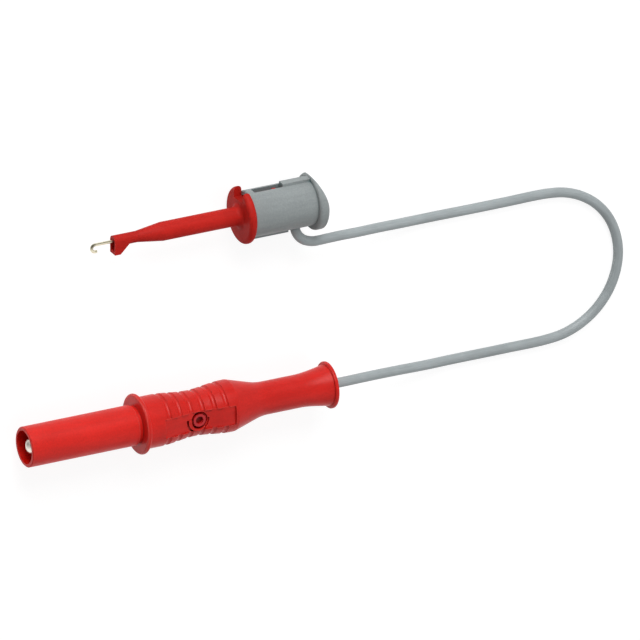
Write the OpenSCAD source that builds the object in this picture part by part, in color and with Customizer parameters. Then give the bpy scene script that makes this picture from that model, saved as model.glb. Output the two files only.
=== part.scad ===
// Test lead: a shrouded 4 mm plug and a spring-loaded hook grabber on one thin cable.
// The origin is the centre of the plug sleeve's mouth. X runs along the plug towards the
// cable, Y across to the grabber, Z up. The lead lies flat, on the plug's flange, the
// grabber's two rims and the cable.

/* [Plug sleeve and core] */
// Outer diameter of the front sleeve
sleeve_d = 9.9; // [9.5:0.1:10.3]
// Length of the front sleeve, from its mouth to its rear shoulder
sleeve_len = 28.4; // [27:0.1:29]
// Wall of the front sleeve
sleeve_wall = 0.87; // [0.7:0.01:1.1]
// Depth of the sleeve's bore
sleeve_depth = 21.5; // [20:0.1:23]
// Chamfer on both ends of the sleeve
sleeve_chamfer = 0.25; // [0.1:0.05:0.4]
// Diameter of the neck between the sleeve and the grip
neck_d = 9.3; // [8.4:0.1:9.3]
// Length of that neck
neck_len = 0.8; // [0.5:0.1:2]
// Diameter of the core inside the grip
core_d = 7.8; // [7.4:0.1:8]
// Length of the core inside the grip
core_len = 21.8; // [20:0.1:22.5]
// Diameter of the core's rear chamber, round the crimp barrel
chamber_d = 4; // [3.8:0.1:4.6]

/* [Latch] */
// Diameter of the latch boss on the core
latch_d = 3.2; // [2.9:0.1:3.3]
// Height of the boss above the core
latch_rise = 0.8; // [0.5:0.05:1]
// Distance from the front of the grip's waist to the boss
latch_from_front = 9.6; // [9:0.1:10]
// Diameter of the blind hole in the boss
latch_hole_d = 2; // [1.2:0.1:2.1]
// Depth of that hole
latch_hole_depth = 0.9; // [0.5:0.1:1.2]
// Gap all round the boss in the grip's window
latch_gap = 0.6; // [0.3:0.05:0.65]

/* [Contact pin] */
// Diameter of the pin
pin_d = 4; // [3.96:0.01:4.04]
// How far the pin's tip lies behind the sleeve's mouth
pin_recess = 0.5; // [0.3:0.05:1.5]
// Length of the pin's domed tip
pin_dome = 1.4; // [1:0.1:1.9]
// Length of the plain head behind the dome
pin_head = 3.3; // [2:0.1:4]
// Length of the contact cage's seat
cage_len = 11.5; // [10:0.1:12]
// Diameter of the pin under the cage
cage_seat_d = 3.2; // [3:0.1:3.3]
// Sheet thickness of the cage
cage_wall = 0.15; // [0.1:0.01:0.18]
// How far the cage's blades bow out past the pin
cage_bulge = 0.1; // [0.02:0.01:0.15]
// Number of blades in the cage
cage_blades = 8; // [6:1:10]
// Width of the slit between two blades
cage_slit = 0.45; // [0.3:0.05:0.6]
// Length of the solid collar at each end of the cage
cage_collar = 1.1; // [0.8:0.1:1.5]
// Diameter of the pin's shank in the core
shank_d = 3.2; // [3:0.1:3.4]
// Length of the shank in the core's wall
shank_len = 9; // [8:0.1:10]
// Number of barbs that hold the shank in the core
barb_count = 3; // [2:1:4]
// Depth of the relief in front of each barb
barb_depth = 0.15; // [0.1:0.05:0.3]
// Spacing of the barbs
barb_pitch = 2; // [1.6:0.1:2.2]
// Length of the crimp barrel behind the core's wall
barrel_len = 9; // [8:0.1:10]
// Depth of the wire hole in the crimp barrel
barrel_hole_len = 8; // [6:0.1:8.5]

/* [Grip] */
// Diameter of the finger flange
flange_d = 14.8; // [14.2:0.1:15.4]
// Thickness of the finger flange
flange_t = 1.2; // [1:0.1:2]
// Fillet behind the flange
flange_fillet = 0.45; // [0.3:0.05:0.45]
// Diameter of the grip's plain ends
grip_d = 12.65; // [12.3:0.05:13]
// Diameter of the grip's waist
waist_d = 11.1; // [10.8:0.05:11.6]
// Length of the plain land behind the flange
front_land = 4; // [3:0.1:5]
// Length of the waisted stretch
waist_len = 18.7; // [18.3:0.1:21]
// Length of the plain land behind the waist
rear_land = 0.8; // [0.4:0.1:2]
// Length of the cone behind it
cone_len = 7.8; // [6:0.1:10]
// Diameter of the tail
tail_d = 8.05; // [7.4:0.05:8.6]
// Radius that blends the cone into the tail
tail_blend_r = 12; // [4:1:20]
// Length of the straight tail
tail_len = 10.7; // [8:0.1:13]
// Length of the flare at the tail's end
flare_len = 7.3; // [6:0.1:8]
// Diameter at the flare's end
flare_d = 10.1; // [9.4:0.05:10.3]
// How late the flare opens, where 1 is a plain cone
flare_bend = 1.5; // [1:0.1:2]
// Diameter of the rear rim
rim_d = 11.45; // [10.8:0.05:12]
// Thickness of the rear rim
rim_t = 1.0; // [0.9:0.1:2]
// Rounding of the rear rim's edges
rim_round = 0.4; // [0.2:0.05:0.45]
// Diameter of the bell mouth where the cable leaves
bell_d = 8.2; // [6:0.1:9]
// Length of the bell mouth
bell_len = 9; // [6:0.1:12]

/* [Grip grooves and panel] */
// Number of finger grooves
groove_count = 6; // [4:1:6]
// Spacing of the grooves
groove_pitch = 3; // [2.6:0.1:3.1]
// Width of a groove at the surface
groove_w = 1.4; // [0.8:0.1:1.6]
// Depth of a groove
groove_depth = 0.45; // [0.25:0.01:0.5]
// Distance from the front of the waist to the first groove
groove_start = 1.3; // [1.1:0.1:1.8]
// Width of the dished panel
panel_w = 4.9; // [4.5:0.1:5.2]
// Height of the panel above the plug's axis in its middle
panel_z = 4.5; // [4.4:0.05:4.7]
// How much higher the panel's two ends are
panel_rise = 1.1; // [0.8:0.05:1.2]
// How far the radius of the half-round lip passes that of the latch's window
lip_wall = 0.3; // [0.2:0.1:0.8]
// Height of the lip above the panel
lip_rise = 0.5; // [0.4:0.05:0.9]
// How far the lip reaches past the middle of the latch
lip_reach = 0.5; // [0:0.05:0.5]
// How far the middle of the lip lies in front of the middle of the latch
lip_shift = 0.45; // [0.25:0.1:0.65]
// Width of the relief in the panel along the lip
relief_w = 0.5; // [0.2:0.05:0.5]
// Depth of that relief
relief_depth = 0.3; // [0.1:0.05:0.3]

/* [Cable] */
// Diameter of the cable
cable_d = 2.4; // [2.2:0.05:2.5]
// Diameter of its bundle of copper strands
strand_d = 1.2; // [0.9:0.05:1.4]
// Length of bare strands between the crimp barrel and the jacket
bare_len = 2; // [1:0.1:3]
// Length of bare strands between the stem's head and the jacket
cap_bare_len = 0.5; // [0.3:0.1:1]

/* [Grabber nose] */
// Distance from the plug's axis to the grabber's axis
grabber_y = 48.85; // [48:0.05:50]
// Place along X of the nose's front face
nose_x = 23.6; // [22:0.1:25]
// Thickness of the flat beak, and diameter of the round neck above and behind it
beak_t = 2.75; // [2.5:0.05:3]
// Depth of the beak's chin below the axis
beak_drop = 3.2; // [2.9:0.1:3.5]
// Length of the chin's flat bottom
chin_len = 1.5; // [1:0.1:2]
// Length of the ramp from the chin up to the axis
ramp_len = 3.15; // [2.6:0.05:3.6]
// Width of the slot in the nose's face
mouth_w = 2; // [1.4:0.1:2.1]
// Depth of that slot along the nose
mouth_depth = 2.4; // [2.1:0.1:2.8]
// How far the slot reaches below the axis
mouth_drop = 2.45; // [2.35:0.05:2.55]
// Distance from the nose's face to the end of the neck
neck_end = 6.2; // [5.5:0.1:7]
// Distance from the nose's face to the end of the taper
taper_end = 12.8; // [11:0.1:14]
// Diameter of the barrel
barrel_d = 4.6; // [4.4:0.1:5]
// Length of the nose from its face to its flange
nose_len = 33.1; // [31:0.1:35]
// Fillet between the barrel and the flange
barrel_fillet = 1.2; // [0.3:0.1:1.3]

/* [Grabber flange and guide] */
// Diameter of the nose's flange
disc_d = 14; // [13.4:0.1:14.6]
// Thickness of the flange
disc_t = 2; // [1.9:0.1:2.4]
// Rounding of the flange's edges
disc_round = 0.9; // [0.2:0.05:0.9]
// Width of the notch in the flange
notch_w = 4.8; // [4:0.1:5.4]
// Height of the notch's floor above the axis
notch_y = 4; // [3.8:0.1:4.5]
// Wall of the guide tube that slides in the cap
guide_wall = 0.9; // [0.7:0.05:1.1]
// Length of the guide tube behind the flange
guide_len = 10; // [9:0.1:10.4]
// Length of the stop lug on the guide
lug_len = 1; // [0.8:0.05:1.5]
// Height of the stop lug above the guide
lug_rise = 0.33; // [0.25:0.01:0.5]

/* [Plunger cap] */
// Diameter of the cap
cap_d = 11.5; // [11.2:0.1:12]
// Wall of the cap
cap_wall = 1.05; // [0.9:0.05:1.1]
// Chamfer on the cap's front edge
cap_chamfer = 0.25; // [0.1:0.05:0.5]
// Length of the cap's tube in front of its thumb rim
cap_len = 16.4; // [16:0.1:18]
// Depth of the cap's hollow
cap_depth = 11.1; // [10.6:0.1:11.3]
// Distance from the cap's front to the stop slot
slot_start = 1.7; // [1.2:0.1:2.4]
// Width of the stop slot
slot_w = 2; // [1.7:0.1:2.4]
// Travel of the nose along the cap
travel = 5.3; // [4:0.1:5.5]
// Length of the slot behind the stop lug
slot_spare = 1.1; // [0.2:0.05:1.3]
// Height of the two rails above the cap
rail_rise = 0.65; // [0.5:0.05:0.8]
// Width of the rails
rail_w = 2; // [1.7:0.1:2.4]
// Length of the rail under the cap
lower_rail_len = 10.7; // [10:0.1:11]
// Diameter of the thumb rim
thumb_d = 14; // [13.4:0.1:14.6]
// Thickness of the thumb rim's lower half
thumb_t = 2.5; // [2.2:0.05:3]
// Height, from the axis, where the thumb rim's back starts to curve forward
thumb_curve_y = -1.5; // [-2:0.1:0]
// Radius of that curve
thumb_curve_r = 17; // [15:0.5:22]
// Rounding of the thumb rim's edges
thumb_round = 0.7; // [0.1:0.05:0.8]
// Distance from the cap's front to the cable's exit
exit_from_front = 12.85; // [12.8:0.05:13.4]

/* [Hook, stem and spring] */
// Diameter of the hook's wire
hook_d = 0.76; // [0.66:0.02:0.76]
// Radius of the crook, to the middle of the wire
crook_r = 0.9; // [0.75:0.05:0.95]
// How far the hook stands out of the nose
hook_out = 5.9; // [5.6:0.05:6.3]
// Length of the straight tip behind the crook
tip_len = 0.45; // [0.2:0.05:0.8]
// Length of the hook's shank inside the stem
hook_seat_len = 4.8; // [3:0.1:6]
// Distance from the nose's face to the stem's front end
stem_start = 10.4; // [10:0.1:12]
// Diameter of the stem
stem_d = 1.2; // [1.1:0.05:1.3]
// Diameter of the stem's head in the cap
head_d = 2.6; // [2.4:0.1:3]
// Length of the stem's head
head_len = 3.2; // [3:0.1:3.6]
// Wire diameter of the return spring
spring_wire_d = 0.35; // [0.3:0.05:0.5]
// Mean diameter of the return spring
spring_d = 4.4; // [3.6:0.1:5]
// Number of turns of the return spring
spring_turns = 8; // [6:1:9]
// Pitch of its two end turns, as a share of the mean pitch
spring_close = 0.3; // [0.3:0.05:1]

/* [Clearances] */
// Gap between two fixed pieces that fit together
seat_gap = 0.04; // [0.02:0.01:0.06]
// Gap round a piece that slides in another
slide_gap = 0.07; // [0.04:0.01:0.09]
// Gap between two moving faces at the end of their travel
stop_gap = 0.1; // [0.05:0.01:0.15]

/* [Hidden] */

// Facets of a round surface, and steps of a curve, of an arc and of the cage's blades
round_fn = 96;
small_fn = 48;
curve_steps = 24;
arc_steps = 10;
blade_steps = 10;
// Overshoot of a cutter past the face that it opens
over = 0.5;

red = [0.78, 0.12, 0.10];
grey = [0.55, 0.57, 0.58];
nickel = [0.86, 0.84, 0.78];
gold = [0.90, 0.80, 0.55];
copper = [0.80, 0.50, 0.32];
steel = [0.72, 0.72, 0.74];

// Places along the plug
grip_x = sleeve_len + neck_len;
waist_start = grip_x + flange_t + front_land;
waist_end = waist_start + waist_len;
latch_x = waist_start + latch_from_front;
cone_start = waist_end + rear_land;
tail_start = cone_start + cone_len;
flare_start = tail_start + tail_len;
rim_start = flare_start + flare_len;
plug_end = rim_start + rim_t;
core_end = grip_x + core_len;
shank_end = sleeve_depth + shank_len;
barrel_end = shank_end + barrel_len;
jacket_start = barrel_end + bare_len;
cage_start = pin_recess + pin_dome + pin_head;
cage_end = cage_start + cage_len;
cable_bore_r = cable_d / 2 + seat_gap;
core_bore_r = core_d / 2 + seat_gap;

// Places along the grabber, which lies on the same surface as the plug's flange
floor_z = -flange_d / 2;
grabber_z = floor_z + thumb_d / 2;
disc_x = nose_x + nose_len;
guide_x = disc_x + disc_t;
guide_end = guide_x + guide_len;
cap_x = guide_x + stop_gap;
thumb_x = cap_x + cap_len;
web_x = cap_x + cap_depth;
slot_x = cap_x + slot_start;
lug_x = slot_x + stop_gap / 2 + travel;
slot_end = lug_x + lug_len + slot_spare;
cap_bore_r = cap_d / 2 - cap_wall;
guide_r = cap_bore_r - slide_gap;
guide_bore_r = guide_r - guide_wall;
exit_x = cap_x + exit_from_front;
stem_x = nose_x + stem_start;
head_x = exit_x - head_len / 2;
crook_x = nose_x - hook_out + hook_d / 2 + crook_r;
shank_end_x = stem_x + hook_seat_len;
inner_jacket_y = head_d / 2 + cap_bare_len;

// Route of the cable's middle from the plug's rear to the side of the cap
cable_route = [
    [plug_end, 0, 0], [85, 0, 0], [90, -0.2, -0.5], [95, -0.7, -1.5], [100, -1.4, -2.8],
    [105, -2.2, -4.2], [110, -2.8, -5.3], [115, -3.1, -6], [121, -3.2, -6.2],
    [131, -3.2, -6.2], [141.4, -3.1, -6.2], [146.4, -2.4, -6.2], [151, -0.5, -6.2],
    [155, 2.5, -6.2], [158.1, 6.5, -6.2], [160, 11.1, -6.2], [160.7, 16.1, -6.2],
    [160, 21.1, -6.2], [158.1, 25.7, -6.2], [155, 29.7, -6.2], [151, 32.7, -6.2],
    [146.4, 34.6, -6.2], [141.4, 35.3, -6.2], [130, 35.3, -6.2], [120, 35.3, -6.2],
    [113, 35.4, -6.1], [107, 35.6, -5.7],
    [101, 36.1, -4.7], [95, 36.9, -3.2], [89, 37.6, -1.7], [84, 38.1, -0.8],
    [80, 38.2, -0.5], [78, 38.2, -0.4], [76.5, 38.25, -0.4], [75.2, 38.6, -0.4],
    [73.9, 39.2, -0.4], [72.8, 40.2, -0.4], [72.1, 41.3, -0.4], [71.75, 42.3, -0.4],
    [exit_x, grabber_y - cap_d / 2, grabber_z]
];
// Sides of the cable and of the spring's wire, and steps of one turn of the spring
cable_sides = 8;
wire_sides = 6;
turn_steps = 12;

// Turns a profile of [radius, x] points about the X axis
module turned() {
    rotate([0, 90, 0]) rotate_extrude($fn = round_fn) children();
}

// A round bar along X between two places
module bar(d, x0, x1, fn = small_fn) {
    translate([x0, 0, 0]) rotate([0, 90, 0]) cylinder(d = d, h = x1 - x0, $fn = fn);
}

// A box centred on Y and Z over its own ranges
module block(x0, x1, y0, y1, z0, z1) {
    translate([x0, y0, z0]) cube([x1 - x0, y1 - y0, z1 - z0]);
}

// Moves a shape drawn about the X axis to the grabber's axis
module at_grabber() {
    translate([0, grabber_y, grabber_z]) children();
}

// Profile of a disc with rounded edges: outer radius r, from x0 to x1
module round_disc(r, x0, x1, edge) {
    translate([0, x0]) square([r - edge, x1 - x0]);
    translate([0, x0 + edge]) square([r, x1 - x0 - 2 * edge]);
    translate([r - edge, x0 + edge]) circle(r = edge, $fn = small_fn);
    translate([r - edge, x1 - edge]) circle(r = edge, $fn = small_fn);
}

// Front sleeve, neck and core of the plug, one rigid moulding
module plug_shroud() {
    sleeve_r = sleeve_d / 2;
    bore_r = sleeve_r - sleeve_wall;
    latch_z = core_d / 2 + latch_rise;
    color(red) difference() {
        union() {
            turned() polygon([
                [0, 0],
                [sleeve_r - sleeve_chamfer, 0],
                [sleeve_r, sleeve_chamfer],
                [sleeve_r, sleeve_len - sleeve_chamfer],
                [sleeve_r - sleeve_chamfer, sleeve_len],
                [neck_d / 2, sleeve_len],
                [neck_d / 2, grip_x - seat_gap],
                [core_d / 2, grip_x - seat_gap],
                [core_d / 2, core_end],
                [0, core_end]
            ]);
            translate([latch_x, 0, 0]) cylinder(d = latch_d, h = latch_z, $fn = small_fn);
        }
        bar(2 * bore_r, -over, sleeve_depth, round_fn);
        bar(shank_d + 2 * seat_gap, sleeve_depth - over, core_end);
        bar(chamber_d, shank_end - seat_gap, core_end + over);
        translate([latch_x, 0, latch_z - latch_hole_depth])
            cylinder(d = latch_hole_d, h = latch_hole_depth + over, $fn = small_fn);
    }
}

// Radius of the grip's waisted stretch at a place along the plug
function waist_r(x) = waist_d / 2
    + (grip_d - waist_d) / 4 * (1 + cos(360 * (x - waist_start) / waist_len));

// Points of an arc in a [radius, x] profile, about a centre, from one angle to another
function arc_points(r0, x0, r, a0, a1) = [for (i = [0:arc_steps])
    let (a = a0 + (a1 - a0) * i / arc_steps) [r0 + r * cos(a), x0 + r * sin(a)]];

// Outer profile of the grip
module grip_profile() {
    grip_r = grip_d / 2;
    edge = flange_t / 2;
    fillet_x = grip_x + flange_t + flange_fillet;
    cone_angle = atan((grip_d - tail_d) / 2 / cone_len);
    blend_x = tail_start + tail_blend_r * tan(cone_angle / 2);
    rim_edge_r = rim_d / 2 - rim_round;
    polygon(concat(
        [[0, grip_x]],
        arc_points(flange_d / 2 - edge, grip_x + edge, edge, -90, 90),
        arc_points(grip_r + flange_fillet, fillet_x, flange_fillet, -90, -180),
        [for (i = [0:curve_steps])
            let (x = waist_start + waist_len * i / curve_steps) [waist_r(x), x]],
        [[grip_r, cone_start]],
        arc_points(tail_d / 2 + tail_blend_r, blend_x, tail_blend_r, 180 + cone_angle, 180),
        [for (i = [0:curve_steps])
            let (t = i / curve_steps)
            [tail_d / 2 + (flare_d - tail_d) / 2 * pow(t, flare_bend), flare_start + flare_len * t]],
        arc_points(rim_edge_r, rim_start + rim_round, rim_round, -90, 0),
        arc_points(rim_edge_r, plug_end - rim_round, rim_round, 0, 90),
        [[0, plug_end]]
    ));
}

// One finger groove, a round channel turned about the axis
module groove_cut(x) {
    groove_r = (groove_w * groove_w / 4 + groove_depth * groove_depth) / (2 * groove_depth);
    turned() translate([waist_r(x) + groove_r - groove_depth, x]) circle(r = groove_r, $fn = small_fn);
}

// Hollow of the grip: the core's seat, the cable's bore and the bell mouth
module grip_hollow() {
    bell_x = plug_end - bell_len;
    turned() polygon(concat(
        [[0, grip_x - over], [core_bore_r, grip_x - over], [core_bore_r, core_end + seat_gap],
            [cable_bore_r, core_end + seat_gap + core_bore_r - cable_bore_r]],
        [for (i = [0:curve_steps])
            let (t = i / curve_steps)
            [cable_bore_r + (bell_d / 2 - cable_bore_r) * t * t, bell_x + bell_len * t]],
        [[bell_d / 2, plug_end + over], [0, plug_end + over]]
    ));
}

// Height of the panel's dished floor at a place along the plug
function panel_floor(x) = panel_z
    + panel_rise / 2 * (1 + cos(360 * (x - waist_start) / waist_len));

// Block as wide as the panel, between its floor and one height
module panel_block(z) {
    rotate([90, 0, 0]) translate([0, 0, -panel_w / 2]) linear_extrude(panel_w) polygon(concat(
        [for (i = [0:curve_steps])
            let (x = waist_start + waist_len * i / curve_steps) [x, panel_floor(x)]],
        [[waist_end, z], [waist_start, z]]
    ));
}

// Hand grip of the plug, with its flange, grooves, latch panel and bell mouth
module grip_shell() {
    window_r = latch_d / 2 + latch_gap;
    lip_r = window_r + lip_wall;
    lip_x = latch_x - lip_shift;
    lip_z = panel_z + lip_rise;
    relief_z = panel_z - relief_depth;
    color(red) difference() {
        union() {
            difference() {
                turned() grip_profile();
                for (i = [0:groove_count - 1])
                    groove_cut(waist_start + groove_start + i * groove_pitch);
                panel_block(grip_d);
            }
            panel_block(core_d / 2);
            translate([lip_x, 0, 0]) intersection() {
                cylinder(r = lip_r, h = lip_z, $fn = small_fn);
                block(-lip_r, lip_r, -lip_r, lip_reach, core_d / 2, lip_z);
            }
        }
        grip_hollow();
        translate([latch_x, 0, 0]) cylinder(r = window_r, h = grip_d, $fn = small_fn);
        translate([lip_x, 0, 0]) difference() {
            intersection() {
                cylinder(r = lip_r + relief_w, h = grip_d, $fn = small_fn);
                block(-grip_d, grip_d, -panel_w / 2, lip_reach, relief_z, grip_d);
            }
            cylinder(r = lip_r, h = grip_d, $fn = small_fn);
        }
    }
}

// Contact pin: domed tip, seat for the cage, barbed shank and crimp barrel
module contact_pin() {
    pin_r = pin_d / 2;
    shank_r = shank_d / 2;
    dome_x = pin_recess + pin_dome;
    color(nickel) difference() {
        turned() polygon(concat(
            [for (i = [0:curve_steps])
                let (a = 90 * i / curve_steps) [pin_r * sin(a), dome_x - pin_dome * cos(a)]],
            [[pin_r, cage_start], [cage_seat_d / 2, cage_start],
                [cage_seat_d / 2, cage_end], [pin_r, cage_end],
                [pin_r, sleeve_depth - seat_gap], [shank_r, sleeve_depth - seat_gap]],
            [for (i = [1:barb_count])
                let (x = sleeve_depth + i * barb_pitch)
                each [[shank_r, x], [shank_r - barb_depth, x], [shank_r, x + barb_pitch / 2]]],
            [[shank_r, barrel_end], [0, barrel_end]]
        ));
        bar(strand_d + 2 * seat_gap, barrel_end - barrel_hole_len, barrel_end + over);
    }
}

// Contact cage: a rolled spring sheet, slit into blades that bow out
module contact_cage() {
    seat_r = cage_seat_d / 2 + seat_gap;
    start = cage_start + seat_gap;
    length = cage_len - 2 * seat_gap;
    bow = pin_d / 2 + cage_bulge - seat_r - cage_wall;
    blade_len = length - 2 * cage_collar;
    color(gold) difference() {
        turned() polygon(concat(
            [[seat_r, start]],
            [for (i = [0:blade_steps])
                let (t = i / blade_steps)
                [seat_r + bow * sin(180 * t) * sin(180 * t), start + cage_collar + blade_len * t]],
            [[seat_r, start + length], [seat_r + cage_wall, start + length]],
            [for (i = [blade_steps:-1:0])
                let (t = i / blade_steps)
                [seat_r + cage_wall + bow * sin(180 * t) * sin(180 * t),
                    start + cage_collar + blade_len * t]],
            [[seat_r + cage_wall, start]]
        ));
        for (i = [0:cage_blades - 1])
            rotate([i * 360 / cage_blades, 0, 0])
                block(start + cage_collar, start + cage_collar + blade_len,
                    -cage_slit / 2, cage_slit / 2, seat_r - cage_wall, pin_d);
    }
}

// Bare copper strands in the plug's crimp barrel
module plug_conductor() {
    color(copper) bar(strand_d, barrel_end - barrel_hole_len + seat_gap, jacket_start);
}

// Jacketed cable inside the plug
module plug_cable_end() {
    color(grey) bar(cable_d, jacket_start, plug_end);
}

// Direction of the route at point i, from its two neighbours
function route_dir(p, i) =
    let (a = p[max(i - 1, 0)], b = p[min(i + 1, len(p) - 1)]) (b - a) / norm(b - a);

// One ring of points round the route
function ring(p, i, r) =
    let (t = i == 0 ? [1, 0, 0] : i == len(p) - 1 ? [0, 1, 0] : route_dir(p, i),
        side = cross([0, 0, 1], t) / norm(cross([0, 0, 1], t)), up = cross(t, side))
    [for (k = [0:cable_sides - 1])
        let (a = 360 * (k + 0.5) / cable_sides) p[i] + r * (cos(a) * side + sin(a) * up)];

// The free cable, swept along its route
module cable() {
    n = len(cable_route);
    m = cable_sides;
    points = [for (i = [0:n - 1]) each ring(cable_route, i, cable_d / 2)];
    sides = [for (i = [0:n - 2], k = [0:m - 1])
        [i * m + k, i * m + (k + 1) % m, (i + 1) * m + (k + 1) % m, (i + 1) * m + k]];
    first = [for (k = [m - 1:-1:0]) k];
    last = [for (k = [0:m - 1]) (n - 1) * m + k];
    color(grey) polyhedron(points, concat([first], sides, [last]));
}

// Jacketed cable inside the cap, from its side to the stem's head
module cap_cable_end() {
    color(grey) at_grabber() translate([exit_x, -inner_jacket_y, 0]) rotate([90, 0, 0])
        cylinder(d = cable_d, h = cap_d / 2 - inner_jacket_y, $fn = small_fn);
}

// Bare strands soldered into the cross hole of the stem's head
module cap_conductor() {
    color(copper) at_grabber() translate([exit_x, 0, 0]) rotate([90, 0, 0])
        cylinder(d = strand_d, h = inner_jacket_y, $fn = small_fn);
}

// Thumb rim, with a back that curves forward towards its upper edge
module thumb_rim() {
    thumb_r = thumb_d / 2;
    back_x = thumb_x + thumb_t;
    arc_end = asin((thumb_r - thumb_curve_y) / thumb_curve_r);
    intersection() {
        turned() round_disc(thumb_r, thumb_x, back_x, thumb_round);
        translate([0, 0, -thumb_r]) linear_extrude(thumb_d) polygon(concat(
            [[thumb_x, -thumb_r], [back_x, -thumb_r]],
            [for (i = [0:arc_steps])
                let (a = arc_end * i / arc_steps)
                [back_x - thumb_curve_r * (1 - cos(a)), thumb_curve_y + thumb_curve_r * sin(a)]],
            [[thumb_x, thumb_r]]
        ));
    }
}

// Grey cap that the thumb pushes, with its stop slot, rails and thumb rim
module plunger_cap() {
    cap_r = cap_d / 2;
    rail_y = cap_r + rail_rise;
    half_w = rail_w / 2;
    color(grey) at_grabber() difference() {
        union() {
            turned() polygon([
                [0, cap_x],
                [cap_r - cap_chamfer, cap_x],
                [cap_r, cap_x + cap_chamfer],
                [cap_r, thumb_x + over],
                [0, thumb_x + over]
            ]);
            block(slot_end, thumb_x + over / 2, cap_bore_r, rail_y, -half_w, half_w);
            block(cap_x, cap_x + lower_rail_len, -rail_y, -cap_bore_r, -half_w, half_w);
            thumb_rim();
        }
        bar(2 * cap_bore_r, cap_x - over, web_x, round_fn);
        block(slot_x, slot_end, 0, cap_d, -slot_w / 2, slot_w / 2);
        bar(head_d + 2 * seat_gap, web_x - over, head_x + head_len + seat_gap);
        translate([exit_x, 0, 0]) rotate([90, 0, 0])
            cylinder(r = cable_bore_r, h = cap_d, $fn = small_fn);
    }
}

// Brass stem that carries the hook, with the cable soldered into its head
module plunger_stem() {
    color(gold) at_grabber() difference() {
        union() {
            bar(stem_d, stem_x, head_x + over);
            bar(head_d, head_x, head_x + head_len);
        }
        bar(hook_d + 2 * seat_gap, stem_x - over, shank_end_x + seat_gap);
        translate([exit_x, seat_gap, 0]) rotate([90, 0, 0])
            cylinder(d = strand_d + 2 * seat_gap, h = head_d, $fn = small_fn);
    }
}

// Gold-plated hook: a straight shank, a half-round crook and a short tip
module hook_wire() {
    color(gold) at_grabber() {
        bar(hook_d, crook_x, shank_end_x);
        translate([crook_x, -crook_r, 0]) rotate([0, 0, 90])
            rotate_extrude(angle = 180, $fn = round_fn)
                translate([crook_r, 0]) circle(d = hook_d, $fn = small_fn);
        translate([0, -2 * crook_r, 0]) bar(hook_d, crook_x, crook_x + tip_len);
    }
}

// Progress along the spring at a share t of its turns: its two end turns lie close
function spring_rise(t) =
    let (turn = 1 / spring_turns, close = spring_close * turn)
    t < turn ? close * t / turn
    : t > 1 - turn ? 1 - close * (1 - t) / turn
    : close + (1 - 2 * close) * (t - turn) / (1 - 2 * turn);

// Return spring between the nose and the cap
module return_spring() {
    steps = turn_steps * spring_turns;
    m = wire_sides;
    wire_r = spring_wire_d / 2;
    x0 = disc_x + disc_t / 2 + wire_r + stop_gap;
    x1 = web_x - wire_r - seat_gap;
    points = [for (i = [0:steps]) let (t = i / steps, a = 360 * spring_turns * t)
        for (k = [0:m - 1]) let (b = 360 * k / m, r = spring_d / 2 + wire_r * cos(b))
            [x0 + (x1 - x0) * spring_rise(t) + wire_r * sin(b), r * cos(a), r * sin(a)]];
    sides = [for (i = [0:steps - 1], k = [0:m - 1])
        [i * m + k, (i + 1) * m + k, (i + 1) * m + (k + 1) % m, i * m + (k + 1) % m]];
    first = [for (k = [0:m - 1]) k];
    last = [for (k = [m - 1:-1:0]) steps * m + k];
    color(steel) at_grabber() polyhedron(points, concat([first], sides, [last]));
}

// Flat beak below the round neck: a chin and a ramp
module beak() {
    translate([0, 0, -beak_t / 2]) linear_extrude(beak_t) polygon([
        [nose_x, 0],
        [nose_x, -beak_drop],
        [nose_x + chin_len, -beak_drop],
        [nose_x + chin_len + ramp_len, 0]
    ]);
}

// Red nose: beak, taper, barrel, flange, guide tube and stop lug
module nose_body() {
    neck_r = beak_t / 2;
    barrel_r = barrel_d / 2;
    lug_y = guide_r + lug_rise;
    lug_w = slot_w - 2 * stop_gap;
    color(red) at_grabber() difference() {
        union() {
            beak();
            turned() polygon(concat(
                [[0, nose_x], [neck_r, nose_x], [neck_r, nose_x + neck_end],
                    [barrel_r, nose_x + taper_end]],
                arc_points(barrel_r + barrel_fillet, disc_x - barrel_fillet, barrel_fillet, 180, 90),
                [[barrel_r + barrel_fillet, disc_x + disc_t / 2], [0, disc_x + disc_t / 2]]
            ));
            difference() {
                union() {
                    turned() round_disc(disc_d / 2, disc_x, guide_x, disc_round);
                    bar(2 * guide_r, disc_x + disc_t / 2, guide_end, round_fn);
                }
                block(disc_x - over, guide_x + stop_gap / 2, notch_y, disc_d,
                    -notch_w / 2, notch_w / 2);
            }
            block(lug_x, lug_x + lug_len, guide_bore_r, lug_y, -lug_w / 2, lug_w / 2);
        }
        bar(2 * guide_bore_r, disc_x + disc_t / 2, guide_end + over, round_fn);
        bar(stem_d + 2 * slide_gap, stem_x - stop_gap, guide_x);
        bar(hook_d + 2 * slide_gap, nose_x, stem_x);
        block(nose_x - over, nose_x + mouth_depth, -mouth_drop, hook_d / 2 + slide_gap,
            -mouth_w / 2, mouth_w / 2);
    }
}

plug_shroud();
grip_shell();
contact_pin();
contact_cage();
plug_conductor();
plug_cable_end();
cable();
cap_cable_end();
cap_conductor();
plunger_cap();
plunger_stem();
hook_wire();
return_spring();
nose_body();
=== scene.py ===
"""Looks of the test lead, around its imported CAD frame. Lengths are in metres, or in millimetres times MM."""
import math
from collections import namedtuple

import bpy
from mathutils import Matrix, Vector


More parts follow.
